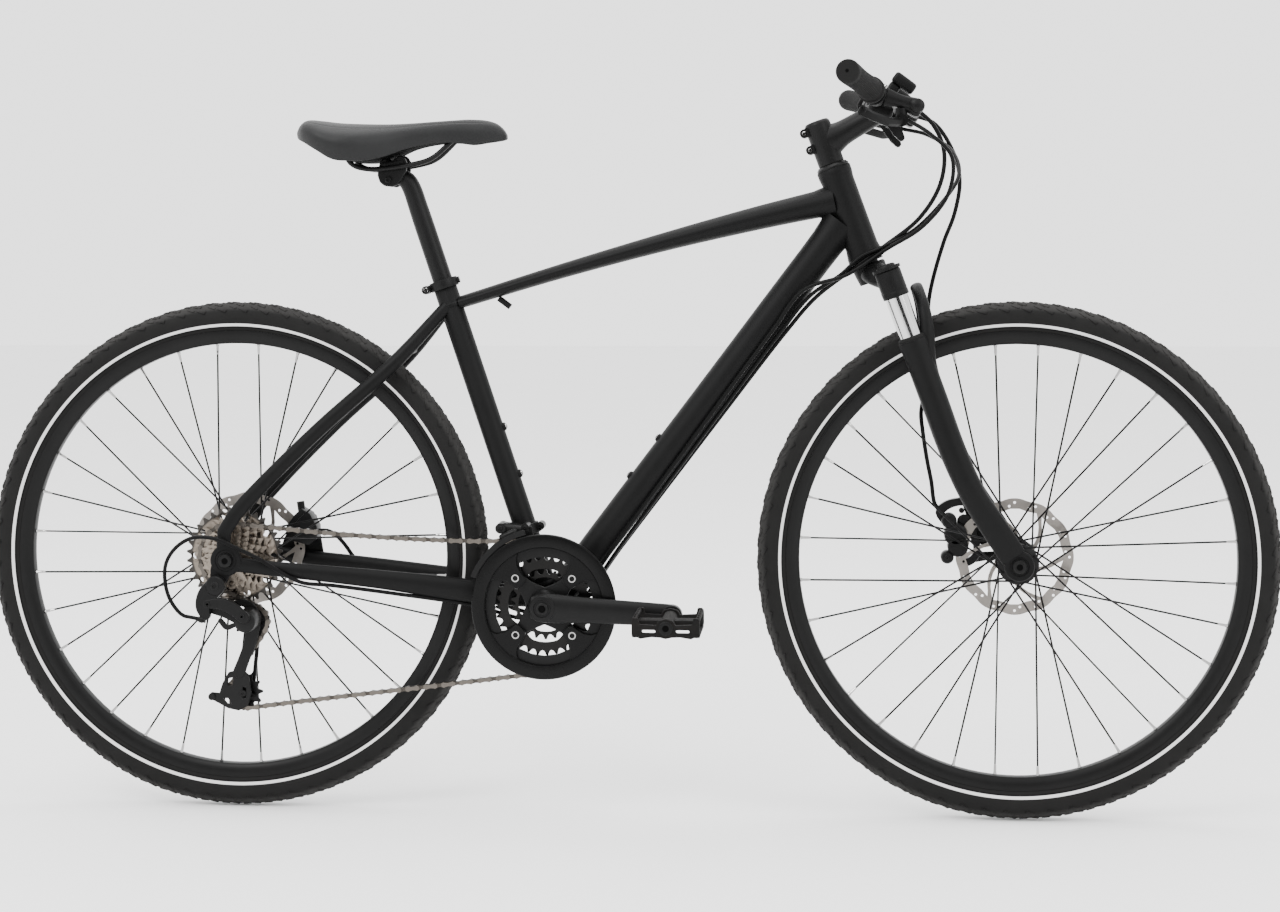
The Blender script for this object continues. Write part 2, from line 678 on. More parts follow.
def make_rotor(word, centre, body, y, finish):
    """Brake disc with a waved edge, slanting arms and rows of holes."""
    outline = []
    for step in range(144):
        angle = math.tau * step / 144
        wave = abs(math.sin(angle * 6))
        outline.append((80 - 2.2 * wave ** 3, angle))
    middle = centre + mm(0, y, 0)
    disc = plate([polar(radius, angle) for radius, angle in outline], -0.9, 0.9, middle)
    window = []
    for share in (0, 0.2, 0.4, 0.6, 0.8, 1):
        angle = math.radians(3.5 + share * 53)
        wave = 1.4 * math.cos(angle * 12)
        window.append(((65.5 + wave) * math.cos(angle), (64.5 + wave) * math.sin(angle)))
    for radii, first in (((59.5, 52, 44, 37, 31.5, 29), 60), ((29, 31.5, 37, 44, 52, 59.5), 0)):
        for radius in radii:
            lean = -34 * (64.5 - radius) / 35.5
            angle = math.radians(lean + first + (-1 if first else 1) * math.degrees(3.1 / radius))
            window.append(polar(radius, angle))
    cutter = repeat_round(plate(window, -4, 4, middle), 6, centre)
    disc = cut_with(disc, cutter)
    holes = []
    for radius, turn in ((74.2, 0), (69.5, 6)):
        angle = math.radians(turn)
        place = middle + mm(radius * math.cos(angle), 0, radius * math.sin(angle))
        holes.append(pin(place, 4, 1.9, 12))
    disc = cut_with(disc, repeat_round(merged(holes), 16, centre))
    bore = pin(middle, 4, 17.4, 48)
    disc = cut_with(disc, bore)
    bpy.ops.object.shade_smooth_by_angle(angle=math.radians(20))
    settle(disc, word + "_disc", body, finish, (word + "_rotor",))
    place = middle + mm(21.5, 1.3, 0)
    bolt = lathe([(0, 2.2), (1.6, 2.2), (1.8, 1), (2.4, 0.8), (3, 0.2), (3, -0.8), (0, -0.8)][::-1],
        place, Y_AXIS, 14)
    settle(repeat_round(bolt, 6, centre), word + "_disc_bolts", body, SILVER)


def make_wheels():
    for word, centre, body, flanges, right_end, y, disc in (("front", FRONT, "front_wheel", (-34, 22),
            -41, 39.2, FRONT_DISC), ("rear", REAR, "rear_wheel", (-18.5, 34), -23, 52, REAR_DISC)):
        make_tyre(word, centre, body)
        make_rim(word, centre, body)
        make_hub(word, centre, body, flanges, right_end, y + 2.1)
        make_rotor(word, centre, body, y, disc)


# Frame
def tube_weld(centre, axis, radius, reach=3.4):
    """Low weld bead where a tube meets another."""
    return lathe([(radius - 1, -reach), (radius + 0.6, -reach), (radius + 1.9, -reach * 0.4),
        (radius + 1.9, reach * 0.4), (radius + 0.6, reach), (radius - 1, reach)], centre, axis, 40)


def make_frame():
    """Round and oval tubes, stays, dropouts, bridges and bosses, as smooth pieces."""
    parts = []
    head = [(17.6, HEAD_BOTTOM), (24, HEAD_BOTTOM), (24.3, HEAD_BOTTOM + 0.6), (24.3, HEAD_BOTTOM + 8),
        (23.8, HEAD_BOTTOM + 10.5), (22.2, HEAD_BOTTOM + 20), (22, HEAD_BOTTOM + 60), (22, HEAD_TOP - 18),
        (23, HEAD_TOP - 11), (23.3, HEAD_TOP - 9), (23.3, HEAD_TOP - 0.6), (22.9, HEAD_TOP), (17.6, HEAD_TOP)]
    parts.append(lathe(head, STEER_FOOT, STEER, 64))
    parts.append(lathe([(13.7, 260), (13.7, 464), (15.7, 464), (16, 463.4), (16, 15), (10, 10), (6, 259)][::-1],
        CRANK, SEAT, 48))
    foot, rise, tip = at_seat(427), at_rear(610.8, 794.6), at_rear(838, 840)
    rows = []
    for share, a, b in ((0.02, 15.5, 8.5), (0.25, 16.8, 10), (0.5, 18, 12.5), (0.75, 19.5, 16), (0.9, 20.3, 18),
            (0.935, 20.6, 18.8), (0.955, 21, 20.3), (0.972, 21.4, 23.5)):
        spot = foot * (1 - share) ** 2 + rise * 2 * share * (1 - share) + tip * share ** 2
        rows.append((spot, a, b))
    parts.append(tube(rows, 40, count=22))
    start, end = CRANK + mm(9.3, 0, 0), at_steer(0, HEAD_TOP - 64)
    rows = [(start.lerp(end, share), a, b) for share, a, b in ((0.02, 21.2, 21.2), (0.15, 22.2, 22.2),
        (0.5, 22.2, 22.5), (0.8, 22.2, 23.2), (0.9, 22, 23.4), (0.935, 21.9, 24.1), (0.958, 21.8, 25.8),
        (0.975, 21.7, 28.5))]
    parts.append(tube(rows, 40, count=40))
    parts.append(lathe([(17.4, -34), (20, -34), (20.5, -33.4), (20.5, 33.4), (20, 34), (17.4, 34)],
        CRANK, Y_AXIS, 48))
    for side in (-1, 1):
        low = [(423, 21, 296, 8.5, 13), (334, 37, 307.5, 8.8, 16.2), (200, 50, 325, 7.8, 12.8),
            (67, 64, 339, 6.4, 10.2), (14, 70.5, 345.5, 2.9, 10)]
        high = [(296, 9.5, 696, 7.5, 8.5), (228, 34.5, 620, 9, 9.8), (130, 49, 533, 8.5, 10), (45, 61, 450, 8, 10.2),
            (11, 67, 412, 6.6, 10.2), (-5, 69.5, 383, 5.4, 9.8), (-4, 70.65, 366, 3, 9.5)]
        for rows in (low, high):
            parts.append(tube([(at_rear(x, z, side * y), a, b) for x, y, z, a, b in rows], 24, count=20))
        drop = lathe([(5.3, 67.2), (20.5, 67.2), (21.5, 68), (21.5, 72.6), (20.2, 73.9), (15, 74.1), (14.2, 73.4),
            (5.3, 73.4)], REAR, Y_AXIS * side, 48)
        parts.append(drop)
    parts.append(pin(at_rear(242, 635), 31, 6.8, 24))
    parts.append(pin(at_rear(378, 304), 31, 7.5, 24))
    hanger = [(-17, 6), (-21.5, -12), (-22.5, -33), (-18, -41.5), (-11, -44), (-4, -41.5), (-1, -33), (6, -19),
        (11, -10), (6, 5)]
    parts.append(rounded(plate(hanger, -73.2, -68.1, REAR), 0.8))
    tab = [(40, -4), (104, -13), (98.5, 20), (93, 46), (79, 53), (67, 37), (48, 16)]
    parts.append(rounded(plate(tab, 65.5, 71, REAR), 1.2))
    for share in BOTTLE_SHARES:
        spot = start.lerp(end, share)
        parts.append(lathe([(5.8, 19), (5.8, 23.2), (4.8, 25.2), (2.2, 25.2), (2, 22.5), (0, 22.5)],
            spot, DOWN_TUBE_OUT, 20))
    for up in BOTTLE_HEIGHTS:
        parts.append(lathe([(5.8, 12), (5.8, 16.8), (4.8, 18.9), (2.2, 18.9), (2, 16.5), (0, 16.5)], at_seat(up),
            SEAT_FRONT, 20))
    parts.append(tube_weld(at_seat(427, 0), SEAT, 15.8, 3))
    parts.append(tube_weld(at_seat(23.5), SEAT, 16, 4))
    parts.append(straight(at_rear(366, 706), at_rear(382, 694), 4.2, 16))
    settle(parts, "frame_tubes", "frame", PAINT, ("frame",))


# Fork
def make_fork():
    """Crown, sockets and caps; smooth legs, arch, seals and dropouts; chrome stanchions."""
    half_arm = [(18, 0.2, 430.5, 18.5, 14), (40, 0.75, 417, 15, 11.5), (60, 1, 411, 13, 13.5)]
    rows = [(-y, *rest) for y, *rest in reversed(half_arm)] + half_arm
    parts = [tube([(at_steer(CROWN * front, up, y), a, b) for y, front, up, a, b in rows], 32, STEER_FRONT, 26)]
    parts.append(lathe([(0, 420), (20, 420), (21.5, 429), (22.5, 437), (22.5, 443), (20.5, 444.8), (14.3, 445),
        (14.3, 645), (0, 645)], STEER_FOOT, STEER, 48))
    for side in (-1, 1):
        foot = at_steer(CROWN, 0, side * LEG)
        top = [(15.8, 430), (14.8, 430.8), (0, 430.8)] if side < 0 else [(15, 428.2), (13.5, 429), (13.3, 433.8),
            (12, 434.5), (0, 434.5)]
        parts.append(lathe([(0, 410), (15.4, 410), (15.4, 392), (17, 392), (17.8, 393), (17.8, 398.5), (17.3, 399.6),
            (17.6, 401), (17.6, 426.8)] + top, foot, STEER, 48))
    settle(parts, "crown_forging", "steering", PAINT, ("fork_crown",))
    legs = []
    for side in (-1, 1):
        rows = [(0, 331, 0, 19.2, 19.2), (0, 324, 0, 19.7, 19.7), (0, 312, 0, 18.6, 18.6), (0, 240, 0, 18, 18),
            (0, 170, 0, 17.6, 17.8), (5, 110, 0.5, 15.6, 17.4), (16, 60, 3.5, 10.8, 18), (27, 14, 7.5, 5.6, 17.6)]
        legs.append(tube([(at_steer(CROWN + front, up, side * (LEG - inward)), a, b)
            for front, up, inward, a, b in rows], 36, count=44))
        inner, outer = 50.3, 59.5
        legs.append(lathe([(5.3, inner), (19.5, inner), (20.3, inner + 1), (20.3, outer - 2), (18.8, outer),
            (13, outer), (12.5, outer - 1), (5.3, outer - 1)], FRONT, Y_AXIS * side, 48))
    half = [(21.5, 262, 62, 15, 13), (28.5, 300, 61, 12.8, 11), (43, 338, 58.8, 9.8, 8), (48.5, 366, 50.5, 8.6, 6.6),
        (50, 385, 32, 8.2, 5.8), (50, 393, 12, 8.4, 5.2)]
    rows = half + [(front, up, -y, a, b) for front, up, y, a, b in reversed(half)]
    legs.append(tube([(at_steer(front, up, y), a, b) for front, up, y, a, b in rows], 24, STEER_FRONT, 54))
    tab = [(24, 28), (30, 110), (22, 111), (14, 106), (8, 90), (7, 46), (13, 28)]
    legs.append(rounded(plate(tab, 52, 59, STEER_FOOT, (STEER_FRONT, STEER, Y_AXIS)), 1.2))
    settle(legs, "fork_castings", "fork", PAINT, ("fork_lowers",))
    seals = []
    for side in (-1, 1):
        foot = at_steer(CROWN, 0, side * LEG)
        seals.append(lathe([(15.2, 331.5), (18.4, 331.2), (18, 334.5), (16.2, 336.2), (15.3, 336.8)],
            foot, STEER, 48))
        word = "left" if side > 0 else "right"
        chrome = lathe([(0, 231), (15, 231), (15, 423), (0, 423)], foot, STEER, 64)
        settle(chrome, word + "_stanchion_tube", "steering", CHROME, (word + "_stanchion",))
    settle(seals, "fork_wipers", "fork", RUBBER)
    foot = at_steer(CROWN, 0, -LEG)
    dial = lathe([(0, 428.6), (12.8, 428.6), (13.5, 429.1), (13.5, 433.6), (13.1, 434.5), (11.5, 436.8), (6, 437.8),
        (0, 437.8)], foot, STEER, 40)
    grip = straight(foot + STEER * 0.4292 + STEER_FRONT * 0.0134, foot + STEER * 0.4334
        + STEER_FRONT * 0.0134, 0.7, 8)
    thumb = tube([(at_steer(CROWN, 431.3, -LEG - 8), 4.5, 2.4), (at_steer(CROWN, 431.3, -LEG - 19), 3, 2.2)],
        16, STEER_FRONT)
    settle([dial, repeat_round(grip, 24, foot, STEER), thumb], "lockout_dial", "lockout_knob",
        PLASTIC, ("lockout_knob",))


# Saddle and seat post
def skin(sections, angle=50):
    """Closed surface through rings with equal numbers of points."""
    count = len(sections[0])
    points = [point for section in sections for point in section]
    faces = [list(range(count)), list(range(len(points) - count, len(points)))]
    for row in range(len(sections) - 1):
        for step in range(count):
            after = (step + 1) % count
            low, high = row * count, (row + 1) * count
            faces.append([low + step, low + after, high + after, high + step])
    mesh = bpy.data.meshes.new("skin")
    mesh.from_pydata([tuple(point) for point in points], [], faces)
    made = bpy.data.objects.new("skin", mesh)
    bpy.context.scene.collection.objects.link(made)
    only(made)
    bpy.ops.object.mode_set(mode="EDIT")
    return close_up(angle)


def saddle_rows(count):
    shares = (0, 0.02, 0.05, 0.12, 0.2, 0.28, 0.36, 0.44, 0.54, 0.66, 0.76, 0.83, 0.9, 0.95, 0.985, 1)
    widths = (0.46, 0.64, 0.8, 0.96, 1, 0.97, 0.84, 0.66, 0.47, 0.34, 0.285, 0.26, 0.24, 0.205, 0.15, 0.09)
    tops = (-4, 3.4, 7.9, 6.5, 3.8, 2.6, 2, 2, 3.4, 6.1, 7.7, 7.9, 6.5, 2.2, -6, -13)
    skirts = (-16.5, -20.4, -24, -35, -47.5, -49.8, -48.5, -43, -32, -25.5, -24.3, -26.5, -24, -22.2, -20.6, -19)
    rows = [(2 + share * (SADDLE_LENGTH - 2), width * SADDLE_HALF, top, skirt)
        for share, width, top, skirt in zip(shares, widths, tops, skirts)]
    return smooth_line(rows, count)


def make_saddle():
    """Foam pad under a soft cover: crowned, with a middle channel, sewn lines and a rolled skirt."""
    rear_x, level = CLAMP.x * 1000 - 130, CLAMP.z * 1000 + 56.5
    top_line = [0, 0.05, 0.1, 0.15, 0.2, 0.26, 0.33, 0.41, 0.49, 0.57, 0.64, 0.7, 0.735, 0.755, 0.765, 0.775, 0.795,
        0.83, 0.865, 0.895, 0.92, 0.942, 0.96, 0.974, 0.985, 0.993, 0.998]
    over = [-x for x in reversed(top_line[1:])] + top_line
    sections, base = [], []
    for along, half, top, skirt in saddle_rows(90):
        share = along / SADDLE_LENGTH
        widest = skirt + 0.42 * (top - skirt)
        fade = max(0, 1 - ((share - 0.46) / 0.34) ** 2)
        ring = []
        for across in over:
            height = widest + (top - widest) * math.sqrt(max(0, 1 - abs(across) ** 3.2))
            height -= 4.2 * fade * math.exp(-(across * half / 8.5) ** 2)
            seam = math.exp(-((abs(across) - 0.765) * half / 0.9) ** 2) * 0.7
            height -= seam * min(1, max(0, (share - 0.05) * 12)) * min(1, max(0, (0.93 - share) * 12))
            ring.append(mm(rear_x + along, across * half, level + height))
        wall = [(1, 0), (0.999, 0.1), (0.992, 0.28), (0.98, 0.48), (0.965, 0.68), (0.95, 0.86), (0.938, 0.96),
            (0.918, 1), (0.89, 0.98), (0.872, 0.86)]
        for across, down in wall:
            ring.append(mm(rear_x + along, across * half, level + widest + (skirt - widest) * down))
        for across in (0.6, 0.2, -0.2, -0.6):
            ring.append(mm(rear_x + along, across * half * 0.87, level + widest + (skirt - widest) * 0.55))
        for across, down in reversed(wall):
            ring.append(mm(rear_x + along, -across * half, level + widest + (skirt - widest) * down))
        sections.append(ring)
        shell = []
        for step in range(28):
            angle = math.tau * step / 28
            flat = math.copysign(abs(math.sin(angle)) ** 0.45, math.sin(angle))
            shell.append(mm(rear_x + 6 + along * 0.96, math.cos(angle) * half * 0.885, level + skirt
                + 4.6 + flat * 4.4))
        base.append(shell)
    cover = skin(sections, 60)
    settle(cover, "saddle_pad", "seat", SADDLE_COVER, ("saddle",))
    settle(skin(base, 60), "saddle_base", "seat", RECESS)


def make_seat():
    side = [(-66, 30, 34.5), (-65, 30, 23), (-55, 27, 4), (-34, 22, -3), (34, 22, 4), (56, 19, 12),
        (90, 12, 42), (100, 6, 47.5)]
    path = [CLAMP + mm(x, y, z) for x, y, z in side]
    path += [CLAMP + mm(x, -y, z) for x, y, z in reversed(side)]
    rails = tube([(point, 3.5, 3.5) for point in path], 16, count=84)
    settle(rails, "saddle_rail_rods", "seat", STEEL, ("saddle_rails",))
    rows = [(at_seat(344), 13.6, 13.6), (at_seat(480), 13.6, 13.6), (at_seat(552), 13.6, 13.6), (at_seat(570, 0),
        13.4, 13.3), (CLAMP + mm(23.5, 0, -30), 13.3, 13), (CLAMP + mm(17, 0, -19), 13.1, 12.6),
        (CLAMP + mm(7, 0, -13), 12.8, 11.5), (CLAMP + mm(-6, 0, -11.8), 12.5, 10.6)]
    head = lathe([(0, -17), (10.5, -17), (12, -15.5), (12, 15.5), (10.5, 17), (0, 17)],
        CLAMP + mm(-7, 0, -15), Y_AXIS, 40)
    settle([tube(rows, 36, count=60), head], "seat_post_tube", "seat", ALLOY, ("seat_post",))
    cheeks = []
    outline = [(-21, -11.8), (-19.9, -1.6), (-16.8, 8.7), (-10.7, 11.7), (-2.5, 7), (4.1, 11.7), (8, 15),
        (12, 15.8), (16, 13), (19, 8), (20, 3.5), (19, -5.7), (13.9, -15.9), (7.7, -24), (-0.5, -28),
        (-10, -26.2), (-17.9, -21.5)]
    for side in (-1, 1):
        low, high = sorted((side * 12, side * 18.8))
        cheeks.append(rounded(plate(outline, low, high, CLAMP), 1.8, 3))
    cheeks.append(block((30, 40, 8), CLAMP + mm(0, 0, 4), (0, math.radians(-6), 0), 1.6))
    settle(cheeks, "saddle_cradle", "seat", ALLOY, ("saddle_clamp",))
    bolt = lathe([(0, 0), (4.2, 0), (4.2, 4), (3.6, 4.6), (2.2, 4.6), (1.8, 3), (0, 3)],
        CLAMP + mm(-5.6, -18.6, -18), -Y_AXIS, 20)
    settle(bolt, "saddle_clamp_bolt", "seat", STEEL)


# Drive
PITCH = 12.7
GUIDE = REAR + mm(26, 0, -89)
TENSION = GUIDE + around(-1.681553) * 0.0985
WHEELS = ((CRANK, 44, 1, 0.057), (REAR, 23, 1, 0.035), (GUIDE, 11, -1, 0.035), (TENSION, 11, 1, 0.035))


def pitch_circle(teeth):
    return PITCH / (2 * math.sin(math.pi / teeth))


def chain_runs():
    """Angle, length and start of the straight run that leaves each wheel."""
    runs = []
    for index in range(4):
        first, second = WHEELS[index], WHEELS[(index + 1) % 4]
        across = second[0] - first[0]
        low, high = (pitch_circle(wheel[1]) * wheel[2] / 1000 for wheel in (first, second))
        length = math.sqrt(across.x ** 2 + across.z ** 2 - (low - high) ** 2)
        angle = math.atan2(across.z, across.x) + math.atan2(low - high, length)
        runs.append((angle, length, first[0] + Vector((math.sin(angle), 0, -math.cos(angle))) * low))
    return runs


def chain_path():
    """Every joint of the chain, and for each wheel the angle of a joint on it."""
    runs = chain_runs()
    joints, phases, place = [], [], 0
    for index, (centre, teeth, sense, side) in enumerate(WHEELS):
        arriving, (leaving, length, start) = runs[index - 1][0], runs[index]
        turn = (leaving - arriving) * sense % math.tau
        links = turn * teeth / math.tau
        first = arriving - sense * math.pi / 2
        phases.append(first + sense * (math.ceil(place - 1e-9) - place) * math.tau / teeth)
        joints += [(place, place + links, "arc", (centre, teeth, sense, side, first))]
        place += links
        joints += [(place, place + length * 1000 / PITCH, "run", (leaving, length, start, side, WHEELS[(index
            + 1) % 4][3], index))]
        place += length * 1000 / PITCH
    points = []
    for link in range(round(place)):
        low, high, kind, shape = [part for part in joints if part[0] - 1e-6 <= link][-1]
        if kind == "arc":
            centre, teeth, sense, side, first = shape
            angle = first + sense * (link - low) * math.tau / teeth
            spot = centre + around(angle) * (pitch_circle(teeth) / 1000)
            points.append(Vector((spot.x, -side, spot.z)))
        else:
            angle, length, start, side, other, index = shape
            share = (link - low) / (high - low)
            sag = 0.032 * share * (1 - share) if index == 0 else 0
            ease = share * share * (3 - 2 * share)
            points.append(start + around(angle) * length * share - Y_AXIS * (side
                + (other - side) * ease) - Z_AXIS * sag)
    return points, phases


def link_shape(offset, outer):
    """Two waisted plates, a roller at one end and a pin's ends, along +X from the origin."""
    outline = []
    for step in range(7):
        angle = math.radians(130 - step * 260 / 6)
        outline.append((PITCH + 3.7 * math.cos(angle), 3.7 * math.sin(angle)))
    outline.append((PITCH / 2, -2.2))
    for step in range(7):
        angle = math.radians(-50 - step * 260 / 6)
        outline.append((3.7 * math.cos(angle), 3.7 * math.sin(angle)))
    outline.append((PITCH / 2, 2.2))
    parts = []
    for side in (-1, 1):
        low, high = sorted((side * offset, side * (offset + 0.85)))
        parts.append(plate(outline, low, high))
    for end in (0, PITCH):
        spot = mm(end, 0, 0)
        parts.append(pin(spot, 3.6 if outer else offset, 1.7 if outer else 3.7, 8))
    return merged(parts)


def make_chain():
    points, _ = chain_path()
    models = (link_shape(2.6, True), link_shape(1.7, False))
    copies = ([], [])
    for link, here in enumerate(points):
        after = points[(link + 1) % len(points)]
        model = models[link % 2]
        copy = duplicate(model)
        forward = (after - here).normalized()
        side = Y_AXIS - forward * forward.y
        side.normalize()
        upward = forward.cross(side)
        copy.data.transform(Matrix.Translation(here) @ Matrix((forward, side, upward)).transposed().to_4x4())
        copies[link % 2].append(copy)
    for model in models:
        bpy.data.objects.remove(model)
    settle(copies[0], "chain_outer_links", "frame", CHAIN_STEEL, ("chain",))
    settle(copies[1], "chain_inner_links", "frame", INNER_LINK_STEEL)


def toothed(teeth, phase, wide=1):
    """Sprocket outline: rounded roots at the joints and blunt teeth between them."""
    pitch, step, outline = pitch_circle(teeth), math.tau / teeth, []
    for tooth in range(teeth):
        for share, rise in ((-0.17, -2.8), (0, -3.6), (0.17, -2.8), (0.3, -0.2), (0.5 - 0.1 * wide, 2.9),
                (0.5 + 0.1 * wide, 2.9), (0.7, -0.2)):
            angle = phase + (tooth + share) * step
            outline.append(polar(pitch + rise, angle))
    return outline


def capsule(start, end, radius, steps=8):
    """Flat outline round two points."""
    angle = math.atan2(end[1] - start[1], end[0] - start[0])
    outline = []
    for spot, base in ((end, angle - math.pi / 2), (start, angle + math.pi / 2)):
        for step in range(steps + 1):
            turn = base + math.pi * step / steps
            outline.append((spot[0] + radius * math.cos(turn), spot[1] + radius * math.sin(turn)))
    return outline


def make_cassette():
    _, phases = chain_path()
    parts = [lathe([(5.3, -24), (26, -24), (26, -42), (17.2, -43), (17.2, -59.6), (16, -60.6), (15, -61.6),
        (11.8, -61.6), (11, -60), (5.3, -60)], REAR, Y_AXIS, 48)]
    for place, teeth in enumerate((11, 13, 15, 17, 20, 23, 26, 32)):
        middle = REAR - Y_AXIS * (0.059 - place * 0.0048)
        sprocket = plate(toothed(teeth, phases[1]), -0.9, 0.9, middle)
        if teeth >= 20:
            pitch = pitch_circle(teeth)
            spot = middle + mm(pitch - 10.5, 0, 0)
            hole = pin(spot, 3, 3.4 if teeth < 30 else 4.8, 14)
            sprocket = cut_with(sprocket, repeat_round(hole, 8 if teeth < 30 else 10, middle))
        parts.append(sprocket)
    settle(parts, "cassette_stack", "cassette", SPROCKET_STEEL, ("cassette",))


def make_pulleys():
    _, phases = chain_path()
    for name, centre, phase in (("guide_pulley", GUIDE, phases[2]), ("tension_pulley", TENSION, phases[3])):
        middle = centre - Y_AXIS * 0.035
        wheel = cut_with(plate(toothed(11, phase, 0.9), -1.1, 1.1, middle), pin(middle, 3, 2.9, 24))
        spot = middle + X_AXIS * 0.0105
        wheel = cut_with(wheel, repeat_round(pin(spot, 3, 2.4, 12), 5, middle))
        cap = lathe([(3, -2.4), (6.6, -2.4), (7, -1.8), (7, 1.8), (6.6, 2.4), (3, 2.4)], middle, Y_AXIS, 24)
        settle([wheel, cap], name + "_wheel", name, PLASTIC, (name,))


def make_chainset():
    """Three toothed rings, the dished guard, spider, arms, bolts and pedals."""
    _, phases = chain_path()
    words = ("large", "middle", "small")
    for place, (teeth, finish) in enumerate(((44, STEEL), (32, RING_STEEL), (22, RING_STEEL))):
        middle = CRANK + Y_AXIS * (place * 0.008 - 0.057)
        ring = plate(toothed(teeth, phases[0]), -1, 1, middle)
        hole = []
        if place == 0:
            for tab in range(4):
                for radius, turn in ((67, -15), (62, -13), (47, -11), (45.5, 0), (47, 11), (62, 13), (67, 15),
                        (67, 30), (67, 45), (67, 60)):
                    angle = math.radians(45 + tab * 90 + turn)
                    hole.append(polar(radius, angle))
        else:
            inner, outer = ((42.5, 50), (26.8, 37.2))[place - 1]
            for step in range(72):
                angle = math.tau * step / 72
                share = min(1, max(0, 1.6 * abs(math.cos(2 * angle)) - 0.25))
                reach = inner + (outer - inner) * share
                hole.append(polar(reach, angle))
        ring = cut_with(ring, plate(hole, -4, 4, middle))
        bpy.ops.object.shade_smooth_by_angle(angle=math.radians(25))
        settle(ring, words[place] + "_ring", "crank", finish,
            ("chainring_" + words[place],))
    guard = [lathe([(80, -61.2), (80, -64), (81.2, -65.2), (85, -65.6), (94, -65.6), (97.2, -65), (98.5, -63.6),
        (98.5, -62), (98, -61.3), (90, -61.2)], CRANK, Y_AXIS, 120)]
    bolts = []
    for tab in range(4):
        angle = math.radians(45 + tab * 90)
        out = Vector((math.cos(angle), math.sin(angle)))
        half = [(42, 6), (45, 9.5), (54.5, 10.5), (64, 13), (72, 19), (77.5, 29), (86, 26)]
        web = half + [(u, -v) for u, v in reversed(half)]
        web = [(u * out.x - v * out.y, u * out.y + v * out.x) for u, v in web]
        guard.append(rounded(plate(web, -62.8, -59, CRANK), 0.8))
        foot = CRANK + Vector((out.x, 0, out.y)) * 0.0545
        bolts.append(lathe([(0, 60), (5.2, 60), (5.5, 62.8), (5.1, 63.7), (3.6, 63.7), (3, 62.2), (0, 62.2)],
            foot, -Y_AXIS, 24))
    settle(guard, "guard_ring", "crank", GLOSS_PLASTIC, ("chain_guard",))
    settle(bolts, "ring_bolts", "crank", SILVER)
    core = [lathe([(9.8, -39.7), (16, -39.7), (22, -40.5), (22.5, -43.7), (22.5, -47), (22.5, -51), (23, -55.5),
        (20.5, -60), (18.5, -64), (17.8, -78), (16.5, -79.5), (12, -80), (11.5, -78.5), (0, -78.5), (0, -72.2),
        (9.8, -72.2)], CRANK, Y_AXIS, 48)]
    for place in range(4):
        angle = math.radians(45 + place * 90)
        core.append(strap([(reach * math.cos(angle), reach * math.sin(angle), half) for reach, half in ((15, 19),
            (28, 13.5), (40, 9.6), (49, 8.6), (54.5, 8.6))], -55.6, -50.5, CRANK, 1.2))
        core.append(strap([(reach * math.cos(angle), reach * math.sin(angle), 7.2) for reach in (18, 24, 31)],
            -47, -43.7, CRANK, 0.8))
    for side, word in ((-1, "right"), (1, "left")):
        angle = math.radians(-2) if side < 0 else math.radians(178)
        out = around(angle)
        middle, end = CRANK + Y_AXIS * side * 0.071, CRANK + out * CRANK_LENGTH + Y_AXIS * side * 0.0815
        rows = [(middle.lerp(end, share), a, b) for share, a, b in ((-0.09, 6, 15), (-0.03, 7, 19), (0.12, 7, 19.4),
            (0.24, 6.8, 18.4), (0.5, 6.6, 16.8), (0.8, 6.2, 15.6), (0.93, 6, 15), (1, 6, 14.6))]
        arm = tube(rows, 28, count=30)
        boss = lathe([(0, -6.5), (12.8, -6.5), (14, -5.2), (14, 5.2), (12.8, 6.5), (0, 6.5)], end, Y_AXIS * side, 40)
        axle = straight(end, CRANK + out * CRANK_LENGTH + Y_AXIS * side * 0.186, 4.5, 20)
        extra = core if side < 0 else [lathe([(9.8, 60), (16, 60), (17, 61), (17, 79), (16, 80), (11.5, 80),
            (11, 78.5), (0, 78.5), (0, 74), (9.8, 74)], CRANK, Y_AXIS, 48)]
        settle([arm, boss, axle] + extra, word + "_crank_arm", "crank", ALLOY, (word + "_crank",))
        cap = lathe([(0, 78.6), (8, 78.6), (8, 80.6), (7.2, 81.2), (5, 81.2), (4.4, 80), (4, 79.2), (0, 79.2)],
            CRANK, Y_AXIS * side, 32)
        settle(cap, word + "_crank_bolt", "crank", STEEL)
        socket = lathe([(0, 80), (4.6, 80), (4.6, 81.4), (0, 81.4)], CRANK, Y_AXIS * side, 6)
        settle(socket, word + "_crank_socket", "crank", RECESS)
        make_pedal(word, CRANK + out * CRANK_LENGTH + Y_AXIS * side * 0.142)


PEDAL_LENGTH = 0.92


